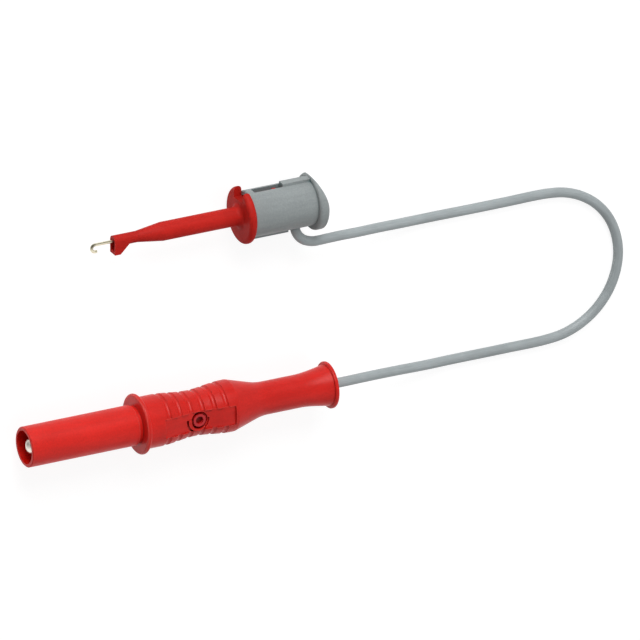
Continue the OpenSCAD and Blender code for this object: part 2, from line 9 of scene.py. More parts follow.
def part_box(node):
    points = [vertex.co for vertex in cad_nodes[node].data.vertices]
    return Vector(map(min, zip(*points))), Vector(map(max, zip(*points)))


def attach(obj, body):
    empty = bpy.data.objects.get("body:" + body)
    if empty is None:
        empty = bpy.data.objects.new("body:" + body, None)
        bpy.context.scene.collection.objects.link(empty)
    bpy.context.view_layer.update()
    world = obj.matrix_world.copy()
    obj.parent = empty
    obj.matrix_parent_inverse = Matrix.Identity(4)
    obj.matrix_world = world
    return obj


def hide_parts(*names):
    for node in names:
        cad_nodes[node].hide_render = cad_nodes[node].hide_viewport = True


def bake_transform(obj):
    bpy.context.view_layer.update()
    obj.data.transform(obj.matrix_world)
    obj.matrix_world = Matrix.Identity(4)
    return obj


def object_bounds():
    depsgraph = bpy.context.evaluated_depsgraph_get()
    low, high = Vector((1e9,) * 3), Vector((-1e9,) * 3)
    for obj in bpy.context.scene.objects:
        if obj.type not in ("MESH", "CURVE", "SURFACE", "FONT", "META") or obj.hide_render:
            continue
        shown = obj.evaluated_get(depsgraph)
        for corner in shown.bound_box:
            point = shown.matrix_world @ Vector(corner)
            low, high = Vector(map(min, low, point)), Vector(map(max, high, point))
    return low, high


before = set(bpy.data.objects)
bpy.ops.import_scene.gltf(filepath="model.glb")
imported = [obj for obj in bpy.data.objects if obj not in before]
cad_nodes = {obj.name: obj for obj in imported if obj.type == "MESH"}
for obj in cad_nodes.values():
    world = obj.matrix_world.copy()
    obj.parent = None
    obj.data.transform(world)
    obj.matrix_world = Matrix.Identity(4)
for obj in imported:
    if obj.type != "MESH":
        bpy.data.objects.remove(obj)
cad_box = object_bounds()

MM = 0.001
X_AXIS, Y_AXIS, Z_AXIS = range(3)
scene = bpy.context.scene

# Camera: nearly parallel rays, as in the photograph.
IMAGE_SIDE = 640
MIDDLE_PX = (IMAGE_SIDE - 1) / 2
ORIGIN_PX = (24.8, 446.4)
PIXELS_PER_MM = 4.2
SENSOR = 36
LENS = 1600
CLIP_END = 20
VIEW_RIGHT = (0.8978, 0.0004, 0.4404)
VIEW_UP = (0.1839, 0.9082, -0.3758)
# How far the aim lies from the frame's origin towards the camera: at about the depth of the object's middle
AIM_DEPTH = -24 * MM


def make_camera():
    """Looks along the photograph's rays, with the frame's origin at its pixel there."""
    right, up = Vector(VIEW_RIGHT).normalized(), Vector(VIEW_UP)
    up = (up - up.dot(right) * right).normalized()
    back = right.cross(up)
    per_pixel = MM / PIXELS_PER_MM
    target = right * ((MIDDLE_PX - ORIGIN_PX[0]) * per_pixel)
    target += up * ((ORIGIN_PX[1] - MIDDLE_PX) * per_pixel)
    target += back * (AIM_DEPTH - target.dot(back))
    distance = IMAGE_SIDE * per_pixel * LENS / SENSOR
    data = bpy.data.cameras.new("camera")
    data.lens = LENS
    data.sensor_width = SENSOR
    data.clip_end = CLIP_END
    camera = bpy.data.objects.new("camera", data)
    scene.collection.objects.link(camera)
    turn = Matrix((right, up, back)).transposed().to_4x4()
    camera.matrix_world = Matrix.Translation(target + back * distance) @ turn
    scene.camera = camera


make_camera()


def node_ends(node, axis):
    """The middles of the two ends of a CAD node's box along an axis, the lower end first."""
    low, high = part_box(node)
    start = (Vector(low) + Vector(high)) / 2
    end = start.copy()
    start[axis], end[axis] = low[axis], high[axis]
    return start, end


# The cable, in millimetres, and its route between its ends at the plug and at the cap, as in the CAD source
CABLE_D = 2.4
CABLE_ROUTE = [
    (85, 0, 0), (90, -0.2, -0.5), (95, -0.7, -1.5), (100, -1.4, -2.8), (105, -2.2, -4.2),
    (110, -2.8, -5.3), (115, -3.1, -6), (121, -3.2, -6.2), (131, -3.2, -6.2), (141.4, -3.1, -6.2),
    (146.4, -2.4, -6.2), (151, -0.5, -6.2), (155, 2.5, -6.2), (158.1, 6.5, -6.2), (160, 11.1, -6.2),
    (160.7, 16.1, -6.2), (160, 21.1, -6.2), (158.1, 25.7, -6.2), (155, 29.7, -6.2), (151, 32.7, -6.2),
    (146.4, 34.6, -6.2), (141.4, 35.3, -6.2), (130, 35.3, -6.2), (120, 35.3, -6.2), (113, 35.4, -6.1),
    (107, 35.6, -5.7), (101, 36.1, -4.7), (95, 36.9, -3.2), (89, 37.6, -1.7), (84, 38.1, -0.8),
    (80, 38.2, -0.5), (78, 38.2, -0.4), (76.5, 38.25, -0.4), (75.2, 38.6, -0.4), (73.9, 39.2, -0.4),
    (72.8, 40.2, -0.4), (72.1, 41.3, -0.4), (71.75, 42.3, -0.4),
]
PLUG_EXIT = node_ends("plug_cable_end", X_AXIS)[1]
CAP_EXIT = node_ends("cap_cable_end", Y_AXIS)[0]
OUT_OF_PLUG = (1, 0, 0)
INTO_CAP = (0, 1, 0)
FLOOR_Z = cad_box[0][2]
CURVE_STEPS = 24
CABLE_STEP = 0.5 * MM
CABLE_SIDES = 32


def smooth_curve(points, first, last):
    """A fine polyline on a centripetal curve through the given points, with set end directions."""
    reach = (points[1] - points[0]).length
    points = [points[0] - Vector(first) * reach, *points, points[-1] + Vector(last) * reach]
    fine = []
    for a, b, c, d in zip(points, points[1:], points[2:], points[3:]):
        t1 = math.sqrt((b - a).length)
        t2 = t1 + math.sqrt((c - b).length)
        t3 = t2 + math.sqrt((d - c).length)
        for i in range(CURVE_STEPS):
            t = t1 + (t2 - t1) * i / CURVE_STEPS
            ab = a.lerp(b, t / t1)
            bc = b.lerp(c, (t - t1) / (t2 - t1))
            cd = c.lerp(d, (t - t2) / (t3 - t2))
            abc = ab.lerp(bc, t / t2)
            bcd = bc.lerp(cd, (t - t1) / (t3 - t1))
            fine.append(abc.lerp(bcd, (t - t1) / (t2 - t1)))
    fine.append(points[-2])
    return fine


def evenly_spaced(line, spacing):
    """Points along a polyline at an even spacing, near the given one, and the polyline's length."""
    runs = [0.0]
    for a, b in zip(line, line[1:]):
        runs.append(runs[-1] + (b - a).length)
    steps = round(runs[-1] / spacing)
    path, j = [], 0
    for i in range(steps + 1):
        run = runs[-1] * i / steps
        while j < len(line) - 2 and runs[j + 1] < run:
            j += 1
        share = (run - runs[j]) / (runs[j + 1] - runs[j])
        path.append(line[j].lerp(line[j + 1], share))
    return path, runs[-1]


def new_mesh(name, verts, faces):
    mesh = bpy.data.meshes.new(name)
    mesh.from_pydata(verts, [], faces)
    mesh.update()
    mesh.shade_smooth()
    piece = bpy.data.objects.new(name, mesh)
    scene.collection.objects.link(piece)
    return piece


def rings(path, first, last):
    """For each point of a path: the point, two directions across the path there, and the run up to it."""
    side, run = None, 0.0
    for i, point in enumerate(path):
        ahead = path[min(i + 1, len(path) - 1)] - path[max(i - 1, 0)]
        if i == 0 and first:
            ahead = Vector(first)
        if i == len(path) - 1 and last:
            ahead = Vector(last)
        ahead = ahead.normalized()
        if side is None:
            side = ahead.orthogonal().normalized()
        side = (side - side.dot(ahead) * ahead).normalized()
        if i:
            run += (point - path[i - 1]).length
        yield point, side, ahead.cross(side), run


def tube(name, paths, radius, sides, first=None, last=None):
    """Closed tubes along one or more paths, in one mesh. The attribute "tube" holds the straightened place:
    across the tube, and along it."""
    verts, faces, places, caps = [], [], [], []
    for path in paths:
        base = len(verts)
        for point, side, up, run in rings(path, first, last):
            for k in range(sides):
                angle = 2 * math.pi * k / sides
                verts.append(point + radius * (math.cos(angle) * side + math.sin(angle) * up))
                places.append((radius * math.cos(angle), radius * math.sin(angle), run))
        for here in range(base, len(verts) - sides, sides):
            there = here + sides
            for k in range(sides):
                after = (k + 1) % sides
                faces.append((here + k, here + after, there + after, there + k))
        caps += [len(faces), len(faces) + 1]
        faces.append(tuple(reversed(range(base, base + sides))))
        faces.append(tuple(range(len(verts) - sides, len(verts))))
    piece = new_mesh(name, verts, faces)
    for cap in caps:
        piece.data.polygons[cap].use_smooth = False
    attribute = piece.data.attributes.new("tube", "FLOAT_VECTOR", "POINT")
    attribute.data.foreach_set("vector", [c for place in places for c in place])
    return piece


route = [PLUG_EXIT, *(Vector(point) * MM for point in CABLE_ROUTE), CAP_EXIT]
cable_path, cable_length = evenly_spaced(smooth_curve(route, OUT_OF_PLUG, INTO_CAP), CABLE_STEP)
for point in cable_path:
    point.z = max(point.z, FLOOR_Z + CABLE_D / 2 * MM)
cable = tube("cable_jacket", [cable_path], CABLE_D / 2 * MM, CABLE_SIDES, OUT_OF_PLUG, INTO_CAP)
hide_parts("cable")
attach(cable, "lead")


class NodeTree:
    """Adds nodes to one node tree, which it empties first."""

    def __init__(self, tree):
        self.tree = tree
        tree.nodes.clear()

    def node(self, kind, inputs=None, **properties):
        """A node with these properties, and with these inputs set or linked."""
        made = self.tree.nodes.new("ShaderNode" + kind)
        for key, value in properties.items():
            setattr(made, key, value)
        for key, value in (inputs or {}).items():
            self.put(made.inputs[key], value)
        return made

    def put(self, socket, value):
        if isinstance(value, bpy.types.NodeSocket):
            self.tree.links.new(value, socket)
        else:
            socket.default_value = value

    def math(self, operation, a, b=0.0, clamp=False):
        return self.node("Math", {0: a, 1: b}, operation=operation, use_clamp=clamp).outputs[0]

    def product(self, first, *others):
        for other in others:
            first = self.math("MULTIPLY", first, other)
        return first

    def weighted(self, *parts):
        """The sum of some values, each times its share."""
        total, *others = [self.product(value, share) for value, share in parts]
        for other in others:
            total = self.math("ADD", total, other)
        return total

    def off(self, value, middle):
        """How far a value is from a middle one, on either side."""
        return self.math("ABSOLUTE", self.math("SUBTRACT", value, middle))

    def span(self, value, low, high, to_low=0.0, to_high=1.0, **properties):
        """The value taken from the range low to high to another range, and held to it."""
        inputs = {"Value": value, "From Min": low, "From Max": high, "To Min": to_low, "To Max": to_high}
        return self.node("MapRange", inputs, **properties).outputs["Result"]

    def measure(self, operation, a, b=(0, 0, 0)):
        """A single number from one vector or two, such as a length or a distance."""
        return self.node("VectorMath", {0: a, 1: b}, operation=operation).outputs["Value"]

    def stretched(self, vector, factors):
        return self.node("VectorMath", {0: vector, 1: factors}, operation="MULTIPLY").outputs["Vector"]


class Shader(NodeTree):
    """The nodes of one material, around a Principled BSDF."""

    def __init__(self, name):
        self.material = bpy.data.materials.new(name)
        self.material.use_nodes = True
        super().__init__(self.material.node_tree)
        self.bsdf = self.node("BsdfPrincipled")
        self.node("OutputMaterial", {"Surface": self.bsdf.outputs[0]})
        self.place = self.node("TexCoord").outputs["Object"]

    def set(self, **inputs):
        for key, value in inputs.items():
            self.put(self.bsdf.inputs[key.replace("_", " ")], value)

    def tube_place(self):
        """The straightened place along a tube, as tube() stores it."""
        return self.node("Attribute", attribute_name="tube").outputs["Vector"]

    def noise(self, scale, detail, vector=None, roughness=0.5):
        inputs = {"Vector": vector or self.place, "Scale": scale, "Detail": detail, "Roughness": roughness}
        return self.node("TexNoise", inputs).outputs["Fac"]

    def mix(self, share, a, b):
        """From colour a where the share is 0 to colour b where it is 1."""
        made = self.node("Mix", {0: share}, data_type="RGBA")
        for socket, colour in zip([x for x in made.inputs if x.type == "RGBA"], (a, b)):
            self.put(socket, colour if isinstance(colour, bpy.types.NodeSocket) else (*colour, 1))
        return next(x for x in made.outputs if x.type == "RGBA")

    def mottled(self, tone, colour, tints):
        """The colour, between its darker and its paler tint as the tone goes."""
        dark, pale = (tinted(colour, tint) for tint in tints)
        return self.mix(self.span(tone, *NARROW_NOISE), dark, pale)

    def bump(self, height, distance, normal=None):
        inputs = {"Height": height, "Distance": distance}
        if normal:
            inputs["Normal"] = normal
        return self.node("Bump", inputs).outputs[0]


def tinted(colour, factor):
    return tuple(min(1.0, c * factor) for c in colour)


# Ranges of a noise: most of its values, and its middle ones. Scales of noises are per metre
WIDE_NOISE = (0.3, 0.7)
NARROW_NOISE = (0.38, 0.62)

# Pigment of moulded plastic
CLOUD_SCALE = 110
CLOUD_SHARE = 0.4
STREAK_SCALE = 900
STREAK_SHARE = 0.25
STREAK_STRETCH = (0.1, 1, 1)
SPECK_SCALE = 2300
SPECK_SHARE = 0.35
PIGMENT_TINTS = (0.88, 1.10)

# Rubbed places and painted highlights of moulded plastic. EDGE_DOTS is the range of the rounded normal times
# the true one
EDGE_RADIUS = 0.25 * MM
EDGE_DOTS = (0.99, 0.80)
PATCH_SCALE = 1500
PATCH_LEVELS = (0.5, 1.0)
RUBBED_OPENNESS = (0.1, 0.5)
HIGHLIGHT_RING_FADE = (0.05 * MM, 0.22 * MM)
WEAR_AND_HIGHLIGHT_SHARE = 0.6

# Painted shade of moulded plastic: ranges of openness, tints of the shade, and widths of soft edges
CREASE = (0.25, 0.8)
LONE_CREASE = (0.25, 0.62)
DEEP_CREASE = (0.08, 0.38)
DEEP_TINT = 0.25
BORE_TINT = 1.1
HOLE_TINT = 0.2
HOLLOW_SHARE = 0.85
BORE_FADE = 0.08 * MM
SOFT_EDGE = 0.1 * MM

# Skin of moulded plastic: the line of the mould, scratches, slow waves and uneven gloss
SEAM_FADE = (0.03 * MM, 0.07 * MM)
SEAM_SHARE = 0.12
SEAM_HEIGHT = 0.02 * MM
SCRATCH_SCALE = 2600
SCRATCH_STRETCH = (0.06, 1, 1)
SCRATCH_RANGE = (0.64, 0.74)
SCRATCH_DEPTH = 0.002 * MM
SCRATCH_ROUGHNESS = 0.08
WAVE_SCALE = 330
WAVE_HEIGHT = 0.006 * MM
GLOSS_SCALE = 260
SMOOTHER = 0.05
PLASTIC_ROUGHER = 0.06

# The inside of a sleeve, with painted shade: its bore's radius, where its core starts along X, and a blind
# hole along Z
Inside = namedtuple("Inside", "bore_r core_x hole_x hole_r")
# A slot in the +Y side: its ends along X, its half width to each side of the seam, its floor and its painted
# shade colour
Slot = namedtuple("Slot", "start end half_width floor_y colour")
# A painted highlight that rings a piece: its place along X, and its inner radius
HighlightRing = namedtuple("HighlightRing", "x inner_r")


class Moulding(Shader):
    """Moulded plastic, with the measures that its details go by."""

    def __init__(self, name, seam_z, reach, alone):
        super().__init__(name)
        self.axes = self.node("SeparateXYZ", {0: self.place}).outputs
        self.off_axis = self.measure("LENGTH", self.stretched(self.place, (0, 1, 1)))
        self.off_seam = self.off(self.axes["Z"], seam_z)
        # 1 on open surfaces, down to 0 in creases, where shade is painted. A piece alone counts only its own
        # creases
        occlusion = self.node("AmbientOcclusion", {"Distance": reach}, samples=8, only_local=alone)
        self.openness = occlusion.outputs["AO"]

    def edges(self):
        """0 on open surfaces, up to 1 along sharp edges."""
        rounded = self.node("Bevel", {"Radius": EDGE_RADIUS}, samples=6).outputs[0]
        true = self.node("NewGeometry").outputs["Normal"]
        return self.span(self.measure("DOT_PRODUCT", rounded, true), *EDGE_DOTS)

    def pigment(self, colour):
        """The colour with clouds, flow streaks along X and specks."""
        cloud = self.noise(CLOUD_SCALE, detail=3)
        streak = self.noise(STREAK_SCALE, detail=2, vector=self.stretched(self.place, STREAK_STRETCH))
        speck = self.noise(SPECK_SCALE, detail=2)
        tone = self.weighted((cloud, CLOUD_SHARE), (streak, STREAK_SHARE), (speck, SPECK_SHARE))
        return self.mottled(tone, colour, PIGMENT_TINTS)

    def wear_and_highlight_mask(self, highlight_ring):
        """Up to 1 where the pale colour goes: patches of the open edges, which hands wear pale, and of a
        painted highlight round the piece.
        """
        patches = self.span(self.noise(PATCH_SCALE, detail=4), *WIDE_NOISE, *PATCH_LEVELS)
        wear_and_highlight = self.product(self.edges(), patches, self.span(self.openness, *RUBBED_OPENNESS))
        if highlight_ring:
            # A painted highlight round the piece, in patches
            highlight_band = self.span(self.off(self.axes["X"], highlight_ring.x), *HIGHLIGHT_RING_FADE, to_low=1.0, to_high=0.0)
            outside = self.span(self.off_axis, highlight_ring.inner_r, highlight_ring.inner_r + SOFT_EDGE)
            wear_and_highlight = self.math("MAXIMUM", wear_and_highlight, self.product(highlight_band, patches, outside))
        return wear_and_highlight

    def core(self, inside):
        """1 behind the place where the core of a sleeve starts, which gets painted shade."""
        return self.span(self.axes["X"], inside.core_x, inside.core_x + SOFT_EDGE)

    def creased(self, base, shade, crease):
        """The base with painted shade in its creases, which is much darker in the deepest."""
        base = self.mix(self.span(self.openness, *crease), shade, base)
        return self.mix(self.span(self.openness, *DEEP_CREASE), tinted(shade, DEEP_TINT), base)

    def hollowed(self, base, shade, inside):
        """The base with painted shade in the bore in front of the core, and with darker painted shade in a
        blind hole.
        """
        bore = self.span(self.off_axis, inside.bore_r, inside.bore_r + BORE_FADE, to_low=1.0, to_high=0.0)
        bore = self.math("SUBTRACT", bore, self.core(inside), clamp=True)
        base = self.mix(bore, base, tinted(shade, BORE_TINT))
        off_hole = self.measure("DISTANCE", self.stretched(self.place, (1, 1, 0)), (inside.hole_x, 0, 0))
        hole = self.span(off_hole, inside.hole_r - SOFT_EDGE, inside.hole_r, HOLLOW_SHARE, 0.0)
        return self.mix(hole, base, tinted(shade, HOLE_TINT))

    def slotted(self, base, slot):
        """The base with a colour of painted shade inside a slot, where less light reaches."""
        off_middle = self.off(self.axes["X"], (slot.start + slot.end) / 2)
        along = self.math("LESS_THAN", off_middle, (slot.end - slot.start) / 2)
        within = self.math("LESS_THAN", self.off_seam, slot.half_width)
        above = self.math("GREATER_THAN", self.axes["Y"], slot.floor_y)
        return self.mix(self.product(along, within, above, HOLLOW_SHARE), base, slot.colour)

    def skin(self, grain, grain_height, scratched, seam):
        """The normal with slow waves, the mould's grain, scratches and a raised seam."""
        normal = self.bump(self.noise(WAVE_SCALE, detail=2), WAVE_HEIGHT)
        normal = self.bump(self.noise(grain, detail=2), grain_height, normal)
        normal = self.bump(self.math("SUBTRACT", 1.0, scratched), SCRATCH_DEPTH, normal)
        return self.bump(seam, SEAM_HEIGHT, normal)


def plastic(name, colour, worn_and_highlight, shade, roughness, grain, grain_height, specular, reach, seam_z=0.0,
            highlight_ring=None, inside=None, slot=None, alone=False):
    """Moulded plastic: uneven pigment, pale edges that hands wear, painted highlights round it, painted shade
    in creases, bores, holes and slots, handling marks, fine grain, and the thin line where the halves of its
    mould met. Its creases are looked for as far as reach."""
    look = Moulding(name, seam_z, reach, alone)
    # Pale colour on edges that hands wear and on painted highlights
    base = look.mix(look.product(look.wear_and_highlight_mask(highlight_ring), WEAR_AND_HIGHLIGHT_SHARE), look.pigment(colour), worn_and_highlight)
    # Painted shade on the sleeve's core
    if inside:
        base = look.mix(look.core(inside), base, CORE_SHADE_RED)
    # Painted shade in creases, darker in the deepest
    base = look.creased(base, shade, LONE_CREASE if alone else CREASE)
    # Painted shade in the bore, and darker painted shade in the blind hole
    if inside:
        base = look.hollowed(base, shade, inside)
    # Painted shade inside a slot
    if slot:
        base = look.slotted(base, slot)
    seam = look.span(look.off_seam, *SEAM_FADE, to_low=1.0, to_high=0.0)
    base = look.mix(look.product(seam, SEAM_SHARE), base, worn_and_highlight)
    along = look.stretched(look.place, SCRATCH_STRETCH)
    scratched = look.noise(SCRATCH_SCALE, detail=3, vector=along, roughness=0.7)
    scratched = look.span(scratched, *SCRATCH_RANGE)
    gloss = look.noise(GLOSS_SCALE, detail=4)
    gloss = look.span(gloss, *WIDE_NOISE, roughness - SMOOTHER, roughness + PLASTIC_ROUGHER)
    gloss = look.math("ADD", gloss, look.product(scratched, SCRATCH_ROUGHNESS))
    normal = look.skin(grain, grain_height, scratched, seam)
    look.set(Base_Color=base, Roughness=gloss, Normal=normal, Specular_IOR_Level=specular)
    return look.material


# Bare or plated metal: its tool lines, its tarnish, and its painted dark reflection
FINE_LINES = 6500
COARSE_LINES = 5200
ROUND_THE_PIECE = (1, 0.04, 0.04)
ALONG_THE_TUBE = (1, 1, 0.03)
LINE_RANGE = (0.35, 0.65)
LINE_SHARE = 0.14
LINE_TINT = 0.8
LINE_HEIGHT = 0.001 * MM
TARNISH_SCALE = 420
TARNISH_RANGE = (0.45, 0.75)
TARNISH_SHARE = 0.45
TARNISH_ROUGHNESS = 0.06
METAL_ROUGHER = 0.07
DARK_REFLECTION_CORE = 0.2
DARK_REFLECTION_SHARE = 0.9
DARK_REFLECTION_TINT = 0.36

# A painted dark reflection on metal, darker towards its middle: its middle and its radius
DarkReflection = namedtuple("DarkReflection", "middle radius")


def metal(name, colour, dull, roughness, lines, drawn=False, dark_reflection_spot=None):
    """Metal with fine tool lines, cloudy gloss and slight tarnish, and perhaps a painted dark reflection. The
    lines of drawn wire run along its tube, and other lines run round the piece."""
    look = Shader(name)
    if drawn:
        place = look.stretched(look.tube_place(), ALONG_THE_TUBE)
    else:
        place = look.stretched(look.place, ROUND_THE_PIECE)
    tooling = look.noise(lines, detail=3, vector=place, roughness=0.6)
    tarnish = look.span(look.noise(TARNISH_SCALE, detail=3), *TARNISH_RANGE)
    base = look.mix(look.product(tarnish, TARNISH_SHARE), colour, dull)
    base = look.mix(look.span(tooling, *LINE_RANGE, 0.0, LINE_SHARE), base, tinted(dull, LINE_TINT))
    # Painted dark reflection: the dull colour, darkened, round a given middle
    if dark_reflection_spot:
        away = look.measure("DISTANCE", look.place, dark_reflection_spot.middle)
        dark_reflection = look.span(away, dark_reflection_spot.radius, DARK_REFLECTION_CORE * dark_reflection_spot.radius, 0.0, DARK_REFLECTION_SHARE)
        base = look.mix(dark_reflection, base, tinted(dull, DARK_REFLECTION_TINT))
    gloss = look.span(tooling, *WIDE_NOISE, roughness - SMOOTHER, roughness + METAL_ROUGHER)
    gloss = look.math("ADD", gloss, look.product(tarnish, TARNISH_ROUGHNESS))
    look.set(Base_Color=base, Roughness=gloss, Metallic=1.0, Normal=look.bump(tooling, LINE_HEIGHT))
    return look.material


# Cable jacket: the extruder's lines, clouds, scuffs, grain and gloss
EXTRUDED_SCALE = 2300
EXTRUDED_STRETCH = 0.02
EXTRUDED_SHARE = 0.5
EXTRUDED_HEIGHT = 0.008 * MM
JACKET_CLOUD_SCALE = 150
JACKET_TINTS = (0.9, 1.08)
JACKET_GLOSS_SCALE = 300
JACKET_GLOSS = (0.42, 0.56)
JACKET_GRAIN = 1100
JACKET_GRAIN_HEIGHT = 0.006 * MM
JACKET_SPECULAR = 0.35
SCUFF_SCALE = 1900
SCUFF_STRETCH = 0.25
SCUFF_RANGE = (0.63, 0.74)
SCUFF_SHARE = 0.22
SCUFF_TINT = 1.5
SCUFF_ROUGHNESS = 0.1


def jacket(name, colour, axis=None):
    """Soft cable jacket: lines drawn by the extruder along it, slow gloss changes and a few scuffs. It runs
    along the tube's own length, or along an axis."""
    look = Shader(name)
    place = look.tube_place() if axis is None else look.place
    length_axis = Z_AXIS if axis is None else axis

    def drawn_out(factor):
        return look.stretched(place, [factor if i == length_axis else 1 for i in range(3)])

    drawn = look.noise(EXTRUDED_SCALE, detail=3, vector=drawn_out(EXTRUDED_STRETCH))
    cloud = look.noise(JACKET_CLOUD_SCALE, detail=3)
    tone = look.weighted((drawn, EXTRUDED_SHARE), (cloud, 1 - EXTRUDED_SHARE))
    base = look.mottled(tone, colour, JACKET_TINTS)
    scuff = look.noise(SCUFF_SCALE, detail=4, vector=drawn_out(SCUFF_STRETCH), roughness=0.65)
    scuff = look.span(scuff, *SCUFF_RANGE)
    base = look.mix(look.product(scuff, SCUFF_SHARE), base, tinted(colour, SCUFF_TINT))
    gloss = look.span(look.noise(JACKET_GLOSS_SCALE, detail=3), *WIDE_NOISE, *JACKET_GLOSS)
    gloss = look.math("ADD", gloss, look.product(scuff, SCUFF_ROUGHNESS))
    normal = look.bump(drawn, EXTRUDED_HEIGHT)
    normal = look.bump(look.noise(JACKET_GRAIN, detail=3), JACKET_GRAIN_HEIGHT, normal)
    look.set(Base_Color=base, Roughness=gloss, Normal=normal, Specular_IOR_Level=JACKET_SPECULAR)
    return look.material


# Colours of the plastics: as moulded, pale on edges that wear and on painted highlights, and painted shade of
# creases, bores and holes
SLEEVE_COLOURS = {"colour": (0.70, 0.020, 0.014), "worn_and_highlight": (0.88, 0.22, 0.19), "shade": (0.62, 0.005, 0.001)}
GRIP_COLOURS = {"colour": (0.63, 0.018, 0.013), "worn_and_highlight": (0.78, 0.11, 0.09), "shade": (0.42, 0.005, 0.003)}
NOSE_COLOURS = {"colour": (0.50, 0.017, 0.012), "worn_and_highlight": (0.64, 0.06, 0.05), "shade": (0.40, 0.010, 0.007)}
CAP_COLOURS = {"colour": (0.290, 0.318, 0.320), "worn_and_highlight": (0.42, 0.43, 0.43), "shade": (0.03, 0.11, 0.115)}
# Painted shade on the sleeve's core, which shows only through the grip's window
CORE_SHADE_RED = (0.52, 0.032, 0.038)
JACKET_GREY = (0.355, 0.393, 0.402)

# Colours of the metals: clean, and dull with tarnish
NICKEL = {"colour": (0.90, 0.84, 0.74), "dull": (0.64, 0.61, 0.54)}
BRONZE = {"colour": (0.88, 0.72, 0.42), "dull": (0.70, 0.52, 0.28)}
GOLD = {"colour": (0.84, 0.79, 0.60), "dull": (0.62, 0.57, 0.41)}
BRASS = {"colour": (0.85, 0.68, 0.36), "dull": (0.66, 0.50, 0.25)}
STEEL = {"colour": (0.74, 0.74, 0.75), "dull": (0.5, 0.5, 0.5)}
COPPER = {"colour": (0.86, 0.50, 0.34), "dull": (0.62, 0.33, 0.22)}

# The grabber's axis, in millimetres, and places on the pieces, as in the CAD source
GRABBER_Y = 48.85
GRABBER_Z = -0.4
SEAM_Z = GRABBER_Z * MM
# Painted highlights round the sleeve's rear edge and round the flange's front rim edge
SLEEVE_HIGHLIGHT_RING = HighlightRing(x=28.25 * MM, inner_r=4.8 * MM)
SLEEVE_INSIDE = Inside(bore_r=4.10 * MM, core_x=29.5 * MM, hole_x=44.0 * MM, hole_r=1.0 * MM)
FLANGE_HIGHLIGHT_RING = HighlightRing(x=29.40 * MM, inner_r=7.0 * MM)
# The notch and the stop slot get a colour of painted shade inside them
NOTCH = Slot(start=56.65 * MM, end=58.75 * MM, half_width=2.35 * MM, floor_y=52.80 * MM,
             colour=(0.33, 0.011, 0.008))
STOP_SLOT = Slot(start=60.48 * MM, end=67.97 * MM, half_width=1.02 * MM, floor_y=53.45 * MM,
                 colour=(0.15, 0.215, 0.22))
# Painted dark reflections on the pin's dome and on the hook's crook
PIN_DARK_REFLECTION = DarkReflection(middle=(0.8 * MM, 0.9 * MM, 0.5 * MM), radius=1.3 * MM)
HOOK_DARK_REFLECTION = DarkReflection(middle=(18.18 * MM, 48.68 * MM, -0.2 * MM), radius=1.1 * MM)

cable.data.materials.append(jacket("cable_jacket_look", JACKET_GREY))
LOOKS = {
    "plug_shroud": plastic("sleeve_look", **SLEEVE_COLOURS, roughness=0.40, grain=1900,
                           grain_height=0.002 * MM, specular=0.18, reach=1.5 * MM, highlight_ring=SLEEVE_HIGHLIGHT_RING,
                           inside=SLEEVE_INSIDE),
    "grip_shell": plastic("grip_look", **GRIP_COLOURS, roughness=0.33, grain=2600,
                          grain_height=0.003 * MM, specular=0.17, reach=0.9 * MM, highlight_ring=FLANGE_HIGHLIGHT_RING),
    "nose_body": plastic("nose_look", **NOSE_COLOURS, roughness=0.50, grain=2000,
                         grain_height=0.002 * MM, specular=0.08, reach=1.4 * MM, seam_z=SEAM_Z, slot=NOTCH),
    "plunger_cap": plastic("cap_look", **CAP_COLOURS, roughness=0.50, grain=2800,
                           grain_height=0.004 * MM, specular=0.2, reach=2.0 * MM, seam_z=SEAM_Z,
                           slot=STOP_SLOT, alone=True),
    "contact_pin": metal("nickel_look", **NICKEL, roughness=0.24, lines=FINE_LINES, dark_reflection_spot=PIN_DARK_REFLECTION),
    "contact_cage": metal("bronze_look", **BRONZE, roughness=0.28, lines=COARSE_LINES),
    "hook_wire": metal("gold_look", **GOLD, roughness=0.24, lines=COARSE_LINES, dark_reflection_spot=HOOK_DARK_REFLECTION),
    "plunger_stem": metal("brass_look", **BRASS, roughness=0.30, lines=FINE_LINES),
    "plug_cable_end": jacket("plug_jacket_look", JACKET_GREY, X_AXIS),
    "cap_cable_end": jacket("cap_jacket_look", JACKET_GREY, Y_AXIS),
}
for name, look in LOOKS.items():
    cad_nodes[name].material_slots[0].material = look

# Return spring, in millimetres. Its end turns lie closer: they rise by CLOSE_RISE of an even turn
SPRING_START = 57.975
SPRING_END = 69.685
SPRING_MEAN_R = 2.2
SPRING_WIRE_R = 0.175
SPRING_TURNS = 8
CLOSE_RISE = 0.3
STEPS_PER_TURN = 40
SPRING_SIDES = 14


def spring_rise(t):
    """The share of the spring's length that its wire has risen by, at share t of its turns."""
    turn = 1 / SPRING_TURNS
    if t < turn:
        return CLOSE_RISE * t
    if t > 1 - turn:
        return 1 - CLOSE_RISE * (1 - t)
    return CLOSE_RISE * turn + (1 - 2 * CLOSE_RISE * turn) * (t - turn) / (1 - 2 * turn)


def make_spring():
    """The return spring, drawn finer than its CAD solid along the same turns."""
    steps = STEPS_PER_TURN * SPRING_TURNS
    path = []
    for i in range(steps + 1):
        angle = 2 * math.pi * SPRING_TURNS * i / steps
        x = SPRING_START + (SPRING_END - SPRING_START) * spring_rise(i / steps)
        y = GRABBER_Y + SPRING_MEAN_R * math.cos(angle)
        z = GRABBER_Z + SPRING_MEAN_R * math.sin(angle)
        path.append(Vector((x, y, z)) * MM)
    spring = tube("return_spring_coil", [path], SPRING_WIRE_R * MM, SPRING_SIDES)
    look = metal("spring_look", **STEEL, roughness=0.27, lines=COARSE_LINES, drawn=True)
    spring.data.materials.append(look)
    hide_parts("return_spring")
    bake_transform(spring)


make_spring()

